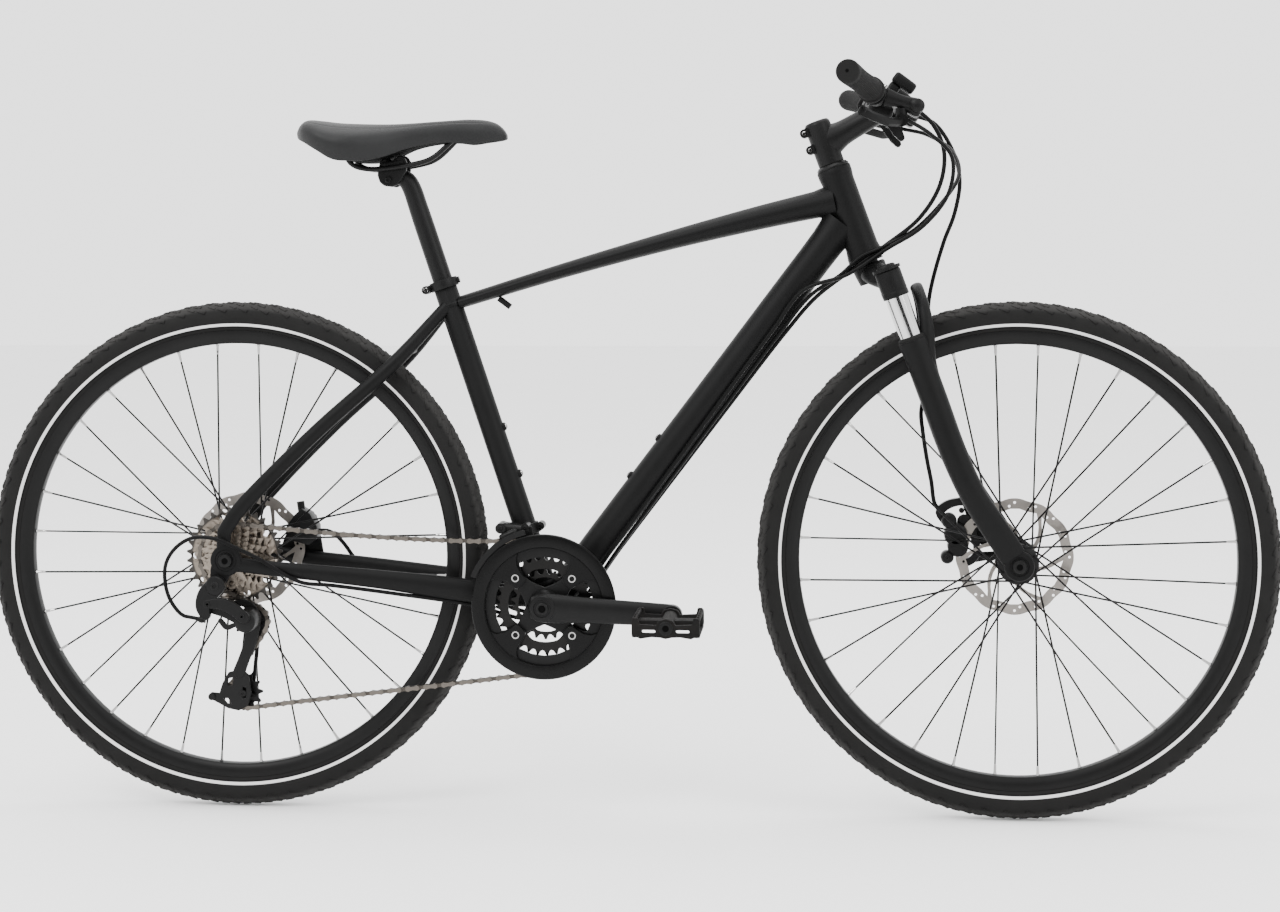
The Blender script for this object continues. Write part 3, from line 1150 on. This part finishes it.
def make_pedal(word, centre):
    """Open cage: two slotted side plates, four toothed cross bars and a barrel with a capped end."""
    parts = []
    outline = [(-48, -8.5), (-45, -12), (-40, -11.5), (-36, -13.5), (-20, -11.2), (-8, -11.8), (0, -13.5), (8, -11.8),
        (20, -11.2), (36, -13.5), (40, -11.5), (45, -12), (48, -8.5), (48, 9), (45.5, 13.2), (39, 13.2), (37, 5),
        (14, 4), (10, 10), (0, 12.5), (-10, 10), (-14, 4), (-37, 5), (-39, 13.2), (-45.5, 13.2), (-48, 9)]
    outline = [(x * PEDAL_LENGTH, z) for x, z in outline]
    for side in (-1, 1):
        low, high = sorted((side * 39.5, side * 45.5))
        cheek = plate(outline, low, high, centre)
        for x in (-22, 22):
            spot = Vector((x, -4))
            cheek = cut_with(cheek, plate(capsule(spot - Vector((7, 0)), spot + Vector((7, 0)), 2.1, 4),
                -60, 60, centre))
        parts.append(rounded(cheek, 0.7, 1))
    for x in (-44.8 * PEDAL_LENGTH, 44.8 * PEDAL_LENGTH):
        for z in (-9.8, 9.8):
            parts.append(block((5.5, 83, 5), centre + mm(x, 0, z), (0, 0, 0), 0.9))
            for y in (-30, -15, 0, 15, 30):
                spot = centre + mm(x, y, z * 1.2)
                parts.append(straight(spot, spot + Z_AXIS * math.copysign(0.0017, z), 2.2, 6, 1))
        for y in (-22, 22):
            parts.append(block((4, 5, 18), centre + mm(x, y, 0), (0, 0, 0), 0.8))
    parts.append(lathe([(0, -44.8), (9, -44.8), (10, -44), (10, 44), (9, 44.8), (0, 44.8)], centre, Y_AXIS, 32))
    parts.append(block((86 * PEDAL_LENGTH, 24, 10), centre, (0, 0, 0), 1.5))
    outward = -1 if word == "right" else 1
    parts.append(lathe([(0, 44), (8.5, 44), (8.5, 45.2), (7, 45.8), (3.8, 45.8), (3.4, 44.6), (0, 44.6)],
        centre, Y_AXIS * outward, 24))
    settle(parts, word + "_pedal_cage", word + "_pedal", GRIT, (word + "_pedal",))
    boss = lathe([(4.4, 44), (9.2, 44), (9.2, 46.2), (8, 47), (5.6, 47), (4.4, 46.2)], centre, Y_AXIS * outward, 28)
    settle(boss, word + "_pedal_cap", word + "_pedal", PLASTIC)
    eye = lathe([(0, 44), (4.6, 44), (4.6, 46.2), (0, 46.2)], centre, Y_AXIS * outward, 20)
    settle(eye, word + "_pedal_eye", word + "_pedal", RECESS)


def strap(centres, low, high, base=Vector(), round_edge=0.8):
    """Flat bar of changing width along a soft line of (x, z, half width)."""
    rows = smooth_line(centres, 18)
    near, far = [], []
    for index, (x, z, half) in enumerate(rows):
        before, after = rows[max(index - 1, 0)], rows[min(index + 1, len(rows) - 1)]
        way = Vector((after[0] - before[0], after[1] - before[1])).normalized()
        near.append((x - way.y * half, z + way.x * half))
        far.append((x + way.y * half, z - way.x * half))
    tips = []
    for (x, z, half), sense in ((rows[-1], 1), (rows[0], -1)):
        other = rows[-2] if sense > 0 else rows[1]
        angle = math.atan2(z - other[1], x - other[0])
        tips.append([(x + half * math.cos(angle + math.pi / 2 * turn),
            z + half * math.sin(angle + math.pi / 2 * turn)) for turn in (0.7, 0.35, 0, -0.35, -0.7)])
    outline = near + tips[0] + far[::-1] + tips[1]
    return rounded(plate(outline, low, high, base), round_edge)


def make_derailleurs():
    """Knuckles, parallelogram links, curved cage and the front cage, with their screws."""
    axle = Vector((REAR.x, 0, 0))
    hanger = REAR + mm(-12, 0, -33)
    parts = [lathe([(0, 73.9), (12, 73.9), (13.2, 75), (13.2, 85), (11.8, 86.6), (7, 87), (0, 87)],
        hanger, -Y_AXIS, 40)]
    parts.append(strap([(-12, 318, 13), (-24.5, 304, 13), (-29.5, 289, 10.5), (-27, 278, 7.5)],
        -84.5, -74.2, axle, 2.2))
    parts.append(strap([(-23.5, 293, 6), (-6, 293.5, 8), (12, 287, 8.5), (27, 275, 8)], -85, -80, axle, 1.6))
    parts.append(strap([(-20, 284, 5.5), (0, 278, 6), (18, 269, 6)], -74.5, -64, axle, 1.6))
    parts.append(strap([(-8, 269, 3), (1, 260, 3.5), (11, 263, 3)], -76, -70, axle, 1))
    knuckle = GUIDE + Z_AXIS * 0.006
    parts.append(lathe([(0, 43.6), (15, 43.6), (15.8, 45), (15.8, 70), (14.5, 76), (10, 79), (0, 79.5)],
        knuckle, -Y_AXIS, 40))
    barrel = at_rear(-26, 270.2, -82)
    end = at_rear(-36.5, 272.5, -82)
    parts.append(straight(barrel, end, 3.6, 16))
    knob = straight(barrel.lerp(end, 0.35), barrel.lerp(end, 0.8), 4.6, 12)
    settle(parts + [knob], "derailleur_parallelogram", "frame", ALLOY, ("rear_derailleur_body",))
    screws = []
    for spot, radius, low in ((hanger, 6, 86.6), (axle + mm(-22.5, 0, 293), 3.4, 85),
            (axle + mm(25, 0, 276.5), 3.4, 85)):
        screws.append(lathe([(0, low - 1), (radius, low - 1), (radius, low + 1), (radius - 0.7, low + 1.7),
            (radius * 0.5, low + 1.7), (radius * 0.44, low), (0, low)], spot, -Y_AXIS, 24))
    settle(screws, "derailleur_bolts", "frame", STEEL)
    arm = strap([(26, 270, 12), (29, 253, 9.5), (25, 232.5, 8.5), (17, 212, 7.8), (10, 194, 8.5)],
        -46.1, -43.2, axle, 0.7)
    shield = strap([(3.7, 287.7, 3.8), (15.9, 289, 5.2), (28, 282.2, 6), (34.5, 269.5, 5.8), (35, 253, 4.2)],
        -45.9, -43.4, axle, 0.7)
    triangle = [(-3, 196), (16, 201), (25, 193), (29, 168), (24, 150), (11, 143), (-4, 146), (-23, 156), (-30, 159),
        (-31, 165), (-27, 168), (-16, 167), (-12, 180)]
    triangle = [(x - 2.2, z - 3) for x, z in triangle]
    lower = plate(triangle, -45, -42, axle)
    for hole in ([(-3.5, 187), (3.5, 189), (3, 178), (-4.5, 177)], [(16.5, 176), (21.5, 174), (21, 160), (16.5, 161)],
            [(-11, 160), (-3.5, 160), (1, 152), (-5, 153)]):
        lower = cut_with(lower, plate([(x - 2.2, z - 3) for x, z in hole], -60, -30, axle))
    plates = [arm, shield, rounded(lower, 0.6, 1)]
    flat = [(spot.x * 1000, spot.z * 1000) for spot in (GUIDE, TENSION, GUIDE.lerp(TENSION, 0.3),
        GUIDE.lerp(TENSION, 0.7))]
    inner = plate(capsule(*flat[:2], 11.8, 10), -29.3, -27.5)
    plates.append(cut_with(inner, plate(capsule(*flat[2:], 6.6), -60, -20)))
    plates.append(lathe([(0, 40), (4.8, 40), (4.8, 47), (0, 47)], axle + mm(-28.7, 0, 159), -Y_AXIS, 20))
    for centre in (GUIDE, TENSION):
        plates.append(straight(centre - Y_AXIS * 0.043, centre - Y_AXIS * 0.0278, 2.5, 16))
        plates.append(lathe([(0, 44.6), (4.4, 44.6), (4.4, 46), (3.8, 46.6), (2, 46.6), (1.8, 45.6), (0, 45.6)],
            centre, -Y_AXIS, 20))
    settle(plates, "derailleur_cage_plates", "frame", STEEL, ("rear_derailleur_cage",))
    parts = []
    for low, high, first, last, inner, outer in ((-63.2, -62, 104, 158, 100, 107.5),
            (-42, -40.8, 100, 160, 90.5, 108)):
        arc = [math.radians(first + (last - first) * step / 24) for step in range(25)]
        outline = [polar(outer, angle) for angle in arc]
        outline += [((inner - 1 * (24 - step) / 24) * math.cos(arc[step]), inner * math.sin(arc[step]))
            for step in range(24, -1, -1)]
        parts.append(rounded(plate(outline, low, high, CRANK), 0.4, 1))
    for angle in (108, 156):
        spot = CRANK + around(math.radians(angle)) * 0.1045
        parts.append(block((6, 22.2, 4), spot - Y_AXIS * 0.052, (0, math.radians(90 - angle), 0), 0.8))
    band = at_seat(101)
    parts.append(lathe([(15.8, -7.5), (18.6, -7.5), (19.3, -6.7), (19.3, 6.7), (18.6, 7.5), (15.8, 7.5)],
        band, SEAT, 48))
    parts.append(straight(band + SEAT_FRONT * 0.0215 - Y_AXIS * 0.01, band + SEAT_FRONT * 0.0215
        + Y_AXIS * 0.01, 5.8, 24))
    parts.append(block((43, 26, 15), at_rear(393, 391.5, -30), (0, math.radians(8), 0), 5.5, 4))
    parts.append(straight(at_rear(373.5, 394.5, -46), at_rear(373.5, 394.5, -18), 7.2, 24))
    parts.append(block((26, 20, 11), at_rear(385, 386, -46), (0, math.radians(-24), 0), 4, 3))
    parts.append(straight(at_rear(407, 396, -45), at_rear(407, 396, -20), 5.5, 20))
    settle(parts, "front_cage", "frame", STEEL, ("front_derailleur",))
    screws = [socket_bolt(at_rear(373.5, 394.5, -45.5), -Y_AXIS, 3.2, 1.6), socket_bolt(at_rear(407, 396, -44.5),
        -Y_AXIS, 2.6, 1.4), socket_bolt(band + SEAT_FRONT * 0.0215 - Y_AXIS * 0.0095, -Y_AXIS, 3.4, 2)]
    settle(screws, "front_cage_screws", "frame", STEEL)


# Cockpit
def bar_point(y, front=0, up=0):
    places = ((0, 0, 0), (40, 0, 0), (190, -17, 12), (316, -50, 30))
    for low, high in zip(places, places[1:]):
        if abs(y) <= high[0]:
            break
    share = (abs(y) - low[0]) / (high[0] - low[0])
    return BAR + mm(low[1] + (high[1] - low[1]) * share + front, y, low[2] + (high[2] - low[2]) * share + up)


def socket_bolt(foot, out, radius=4, tall=4):
    """Cap bolt with a recessed key hole."""
    return lathe([(0, -2), (radius, -2), (radius, tall - 0.6), (radius - 0.6, tall), (radius * 0.56, tall),
        (radius * 0.5, tall - 2), (0, tall - 2)], foot, out, 20)


def make_stem():
    low, high = 588.8, 649.8
    column = lathe([(14.6, low), (17.2, low), (17.8, low + 0.6), (17.8, high - 5), (17, high - 2.2), (15, high),
        (13, high), (12, high + 0.6), (4.5, high + 0.6), (3.8, high - 1), (0, high - 1), (0, 644.2), (14.6, 644.2)],
        STEER_FOOT, STEER, 48)
    root = at_steer(4, low + 30)
    rows = [(root.lerp(BAR, share), a, b) for share, a, b in ((0, 17.2, 23.5), (0.12, 16.8, 21.2), (0.25, 15.8, 17.6),
        (0.5, 15, 16), (0.75, 15.8, 15.4), (0.97, 17.2, 15))]
    arm = tube(rows, 32, count=16)
    clamp = lathe([(16.2, -23), (20.5, -23), (21.5, -22.2), (21.5, -1.2), (20.9, -0.6), (20.9, 0.6), (21.5, 1.2),
        (21.5, 22.2), (20.5, 23), (16.2, 23)], BAR, Y_AXIS, 48)
    forward = (BAR - root).normalized()
    upward = forward.cross(Y_AXIS)
    ears, bolts = [], []
    for across in (-0.015, 0.015):
        for up in (-0.0195, 0.0195):
            foot = BAR + upward * up + Y_AXIS * across
            ears.append(straight(foot - forward * 0.01, foot + forward * 0.013, 5, 20))
            bolts.append(socket_bolt(foot + forward * 0.0125, forward, 3.6, 3.4))
    for up in (high - 10, high - 34):
        ears.append(pin(at_steer(-20.5, up), 12, 6, 24))
        ears.append(pin(at_steer(-15.5, up), 11, 6.6, 24))
        bolts.append(lathe([(1.2, 0), (3.1, 0), (3, 0.8), (2.1, 1.7), (1.3, 0.8)],
            at_steer(-20.5, up, -11.8), -Y_AXIS, 20))
    settle([column, arm, clamp] + ears, "stem_forging", "steering", ALLOY, ("stem",))
    settle(bolts, "stem_bolts", "steering", SILVER)


def make_bar():
    spots = [0, 36, 50, 70, 90, 110, 150, 186, 194, 240, 311.5]
    sizes = [15.9, 15.9, 15.2, 13.5, 12, 11.1, 11.1, 11.1, 11.1, 11.1, 11.1]
    rows = [(bar_point(-y), size, size) for y, size in zip(spots[:0:-1], sizes[:0:-1])]
    rows += [(bar_point(y), size, size) for y, size in zip(spots, sizes)]
    settle(tube(rows, 32, X_AXIS, 72), "handlebar_tube", "steering", ALLOY, ("handlebar",))
    for side, word in ((-1, "right"), (1, "left")):
        start, end = bar_point(side * 197), bar_point(side * 315.8)
        rows = []
        for step in range(69):
            share = step / 68
            ridge = 0 if step < 4 or step > 62 else (0.6 if step % 3 else -0.3)
            swell = 14.2 + 0.6 * math.cos(math.tau * share) + ridge
            if step < 4:
                swell = 17.2
            if step > 62:
                swell = (15.1, 15.3, 15.3, 15.2, 14.9, 14.2)[step - 63]
            rows.append((start.lerp(end, share), swell, swell))
        settle(tube(rows, 28, X_AXIS), word + "_grip_sleeve", "steering", RUBBER, (word + "_grip",))
        out = (end - start).normalized()
        eye = lathe([(0, -1), (2.2, -1), (2.2, 0.2), (0, 0.2)], end, out, 16)
        settle(eye, word + "_grip_eye", "steering", RECESS)


def make_controls():
    """Master cylinders with their lids, lever blades, shifter pods with gear windows, and thumb paddles."""
    for side, word in ((-1, "right"), (1, "left")):
        along = (bar_point(side * 300) - bar_point(side * 200)).normalized()
        grip_on = bar_point(side * 166)
        middle = BAR + mm(39, 0, -5)
        rows = [(middle + mm(0, side * y, 0), a, b) for y, a, b in ((111.5, 4, 4), (114, 8, 7.8), (120, 9.6, 9.2),
            (145, 10, 9.6), (164, 9.8, 9.4), (171.5, 8.5, 8.2), (173.5, 4.5, 4.5))]
        parts = [tube(rows, 28, X_AXIS, 22)]
        parts.append(block((25, 50, 18), middle + mm(-5.5, side * 143, -2), (0, 0.52, 0), 4.8, 4))
        parts.append(lathe([(11.2, -6), (14.6, -6), (15.5, -5.2), (15.5, 5.2), (14.6, 6), (11.2, 6)],
            grip_on, along, 32))
        rows = [(grip_on.lerp(middle + Y_AXIS * side * 0.163, share), a, b) for share, a, b in ((0.25, 5.8, 12),
            (0.6, 5.2, 8.5), (1, 6, 9.5))]
        parts.append(tube(rows, 20, Y_AXIS, 8))
        pivot = BAR + mm(19, side * 162, -24)
        parts.append(straight(pivot + Z_AXIS * 0.0035, pivot + Z_AXIS * 0.016, 7.5, 20))
        settle(parts, word + "_master_cylinder", "steering", ALLOY, (word + "_brake_lever_body",))
        lid = [socket_bolt(middle + mm(-1.5, side * y, 5.2), Vector((0.497, 0, 0.868)), 2.2, 1.6) for y in (125, 161)]
        lid.append(socket_bolt(bar_point(side * 166, 13, 9), Vector((0.6, 0, 0.8)), 3.4, 3))
        settle(lid, word + "_cover_screws", "steering", SILVER)
        blade = from_node(word + "_brake_lever", 1.6, 4)
        tip = BAR + mm(-31, side * 241.5, -14.2)
        knob = block((9.5, 8.5, 8.5), tip, (0, 0, 0), 3.8, 4)
        settle([blade, knob], word + "_lever_blade", word + "_brake_lever", LEVER_BLACK,
            (word + "_brake_lever",))
        tilt = math.radians(37)
        pod = mm(381.1, side * 132.5, 986.9)
        parts = [block((32, 28, 15), pod, (0, tilt, 0), 4, 4)]
        clamp = bar_point(side * 133)
        parts.append(lathe([(11.2, -6), (14.4, -6), (15.3, -5.2), (15.3, 5.2), (14.4, 6), (11.2, 6)],
            clamp, along, 32))
        parts.append(block((15, 18, 19), clamp.lerp(pod, 0.55), (0, tilt, 0), 4, 3))
        parts.append(block((33, 25, 20), clamp + mm(3, 0, -17), (0, math.radians(14), 0), 7, 4))
        settle(parts, word + "_shifter_pod", "steering", PLASTIC, (word + "_shifter",))
        raised = Vector((math.sin(tilt), 0, math.cos(tilt))) * 0.007
        window = block((20, 19, 1.4), pod + raised, (0, tilt, 0), 0.6)
        settle(window, word + "_gear_window", "steering", GLOSS_PLASTIC)
        settle(from_node(word + "_shift_trigger", 1.8, 4), word + "_trigger_paddle", word + "_shift_trigger",
            PLASTIC, (word + "_shift_trigger",))


# Hoses and cables
def down_tube_spot(share, turn, reach):
    start, end = CRANK + mm(9.3, 0, 0), at_steer(0, HEAD_TOP - 64)
    angle = math.radians(turn)
    return start.lerp(end, share) + (Y_AXIS * math.sin(angle) - DOWN_TUBE_OUT * math.cos(angle)) * (reach / 1000)


def tube_run(start_turn, end_turn, radius):
    run = []
    for share, lift in ((0.82, 6), (0.72, 1.6), (0.54, 0.4), (0.36, 0), (0.18, 0), (0, 0)):
        turn = end_turn + (start_turn - end_turn) * share / 0.82
        run.append(down_tube_spot(share, turn, 24.4 + lift + radius))
    return run


def hose(points, radius, name, node, count):
    piece = tube([(point, radius, radius) for point in points], 12, count=count, angle=60)
    settle(piece, name, None, HOUSING, (node,))
    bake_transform(piece)


def make_hoses():
    left, right = BAR + mm(39, 111.7, -5), BAR + mm(39, -111.4, -5)
    entry = (STEER * 0.82 - STEER_FRONT * 0.57).normalized()
    foot = at_steer(-19, 89.3, 46)
    front = [left, left - Y_AXIS * 0.0177, *rear_spots((962, 945, 80), (988, 905, 74), (997, 866, 74), (990, 820, 80),
        (975, 779, 88), (956, 705, 91), (953, 640, 89), (951, 600, 87), (949, 572, 84), (944, 545, 73),
        (946, 520, 60), (951, 485, 52), (957, 454, 47.5)), foot + entry * 0.014, foot + entry * 0.0003]
    hose(front, 2.9, "front_hose", "front_brake_hose", 120)
    rear = [right, right + Y_AXIS * 0.02, *rear_spots((955, 936, -80), (970, 901, -66), (965, 857, -54),
        (938, 813, -41), (892, 776, -31), (848, 744, -25))] + tube_run(-14, 12, 2.8) + [*rear_spots((440, 265, 11),
        (400, 269, 25), (334, 286.5, 37), (230, 303, 49), (176, 315, 64), (148, 335, 70), (134, 356, 65),
        (122, 372, 54), (112, 377, 52), (100.5, 377, 52))]
    hose(rear, 2.9, "rear_hose", "rear_brake_hose", 230)
    pod = BAR + mm(3, -130, -16)
    barrel_end, barrel_way = at_rear(-36.5, 272.5, -82), Vector((-0.0205, 0, 0.0045)).normalized()
    gear = [pod + mm(12.8, 0, -2), pod + mm(24, 1, -6), *rear_spots((952, 922, -98), (980, 893, -76), (976, 846, -64),
        (942, 802, -54), (896, 773, -44), (842, 738, -37))]
    gear += tube_run(-66, -40, 2.6) + [*rear_spots((440, 265, -22), (400, 269, -28), (334, 288, -37),
        (230, 304.5, -49), (140, 316.5, -57), (104, 321, -66), (76, 336, -74), (50, 353, -78), (18, 369, -81),
        (-12, 382, -83), (-43, 383, -83), (-67, 369, -82), (-81, 347, -81), (-82, 320, -81), (-74, 296, -82)),
        barrel_end + barrel_way * 0.022, barrel_end + barrel_way * 0.009, barrel_end + barrel_way * 0.0003]
    hose(gear, 2.7, "rear_gear_housing", "rear_shift_cable", 260)
    pod = BAR + mm(3, 130, -16)
    gear = [pod + mm(12.8, 0, -2), pod + mm(24, -2, -6), *rear_spots((952, 930, 92), (985, 906, 52), (993, 872, 10),
        (972, 838, -20), (932, 798, -34), (890, 775, -37), (862, 763, -31), (834, 738, -29))]
    gear += tube_run(-40, -14, 2.6) + [*rear_spots((438, 265, -7), (411, 273, -10), (400, 300, -12), (395, 335, -22),
        (391.5, 362, -36), (391.5, 374, -40), (391.5, 388.6, -40))]
    hose(gear, 2.7, "front_gear_housing", "front_shift_cable", 200)


def make_small_parts():
    """Edges rounded on the small castings, and the bolts that show on them."""
    for node, (name, body, finish, slot, bevel) in {"headset_upper_bearing": ("upper_cup", "frame",
            STEEL, "black_steel", 0.6), "headset_lower_bearing": ("lower_cup", "frame", STEEL, "black_steel",
            0.4), "seat_collar": ("collar", "frame", ALLOY, "black_alloy", 0.9),
            "bottom_bracket": ("bottom_bracket_cups", "frame", STEEL, "black_steel", 0.4),
            "rear_brake_caliper": ("rear_caliper", "frame", ALLOY, "black_alloy", 1.6),
            "rear_axle": ("rear_axle_set", "frame", STEEL, "black_steel", 0.4), "front_axle": ("front_axle_set",
            "fork", STEEL, "black_steel", 0.4), "rear_qr_lever": ("rear_release", "rear_qr_lever",
            ALLOY, "black_alloy", 2.2), "front_qr_lever": ("front_release", "front_qr_lever",
            ALLOY, "black_alloy", 2.2)}.items():
        settle(from_node(node, bevel, 3), name, body, finish, (node,))
    bolts = [socket_bolt(at_rear(63, 372, 65.2), Y_AXIS, 3.8, 3), socket_bolt(at_rear(90, 390, 65.2), Y_AXIS, 3.8, 3),
        socket_bolt(at_seat(457.5, -25, -11.8), -Y_AXIS, 3.6, 2.4)]
    for share in BOTTLE_SHARES:
        foot = down_tube_spot(share, 180, 24.6)
        bolts.append(socket_bolt(foot, DOWN_TUBE_OUT, 3.6, 2))
    for up in BOTTLE_HEIGHTS:
        bolts.append(socket_bolt(at_seat(up, 18.6), SEAT_FRONT, 3.6, 2))
    settle(bolts, "frame_bolts", "frame", SILVER)
    for word, centre, body in (("front", FRONT, "fork"), ("rear", REAR, "frame")):
        reach = -1000 * min(vertex.co.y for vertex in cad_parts[word + "_axle"].data.vertices)
        socket = lathe([(0, reach - 2), (4.2, reach - 2), (4.2, reach + 0.3), (0, reach + 0.3)], centre, -Y_AXIS, 24)
        settle(socket, word + "_axle_socket", body, RECESS)
    axle = Vector((REAR.x, 0, 0))
    round_end = [(0, 28), (12, 28), (15, 30), (16, 33), (16, 45.5), (14.5, 48.5), (9, 50.5), (0, 50.8)]
    parts = []
    for x, z, share in ((990, 381, 1), (981, 400, 0.66), (993, 365, 0.9), (978.5, 350, 0.56)):
        parts.append(lathe([(radius * share, along) for radius, along in round_end], axle + mm(x, 0, z), Y_AXIS, 36))
    parts.append(strap([(1005, 425, 5), (993, 425, 5.2), (978, 420, 5.8), (969, 411, 6.2), (976, 399, 6)],
        40, 50, axle, 1.8))
    parts.append(strap([(1012, 384, 5.5), (1019, 366, 5), (1017, 350, 5), (1006, 342, 5.5), (998, 343, 6)],
        40, 50, axle, 1.8))
    parts.append(strap([(1002, 398, 10), (1012, 386, 8)], 42, 49, axle, 1.8))
    settle(parts, "front_caliper", "fork", ALLOY, ("front_brake_caliper",))
    bolts = [socket_bolt(at_steer(-20, 58, 51.7), Y_AXIS, 3.8, 3), socket_bolt(at_steer(4, 82, 51.7), Y_AXIS, 3.8, 3),
        socket_bolt(axle + mm(978.5, 28.5, 350), -Y_AXIS, 3.6, 2)]
    settle(bolts, "front_caliper_bolts", "fork", STEEL)


make_camera()
make_stage()
make_wheels()
make_frame()
make_fork()
make_saddle()
make_seat()
make_chain()
make_cassette()
make_pulleys()
make_chainset()
make_derailleurs()
make_stem()
make_bar()
make_controls()
make_hoses()
make_small_parts()

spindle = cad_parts["crank_spindle"]
spindle.data.materials.clear()
spindle.data.materials.append(BARE_STEEL)
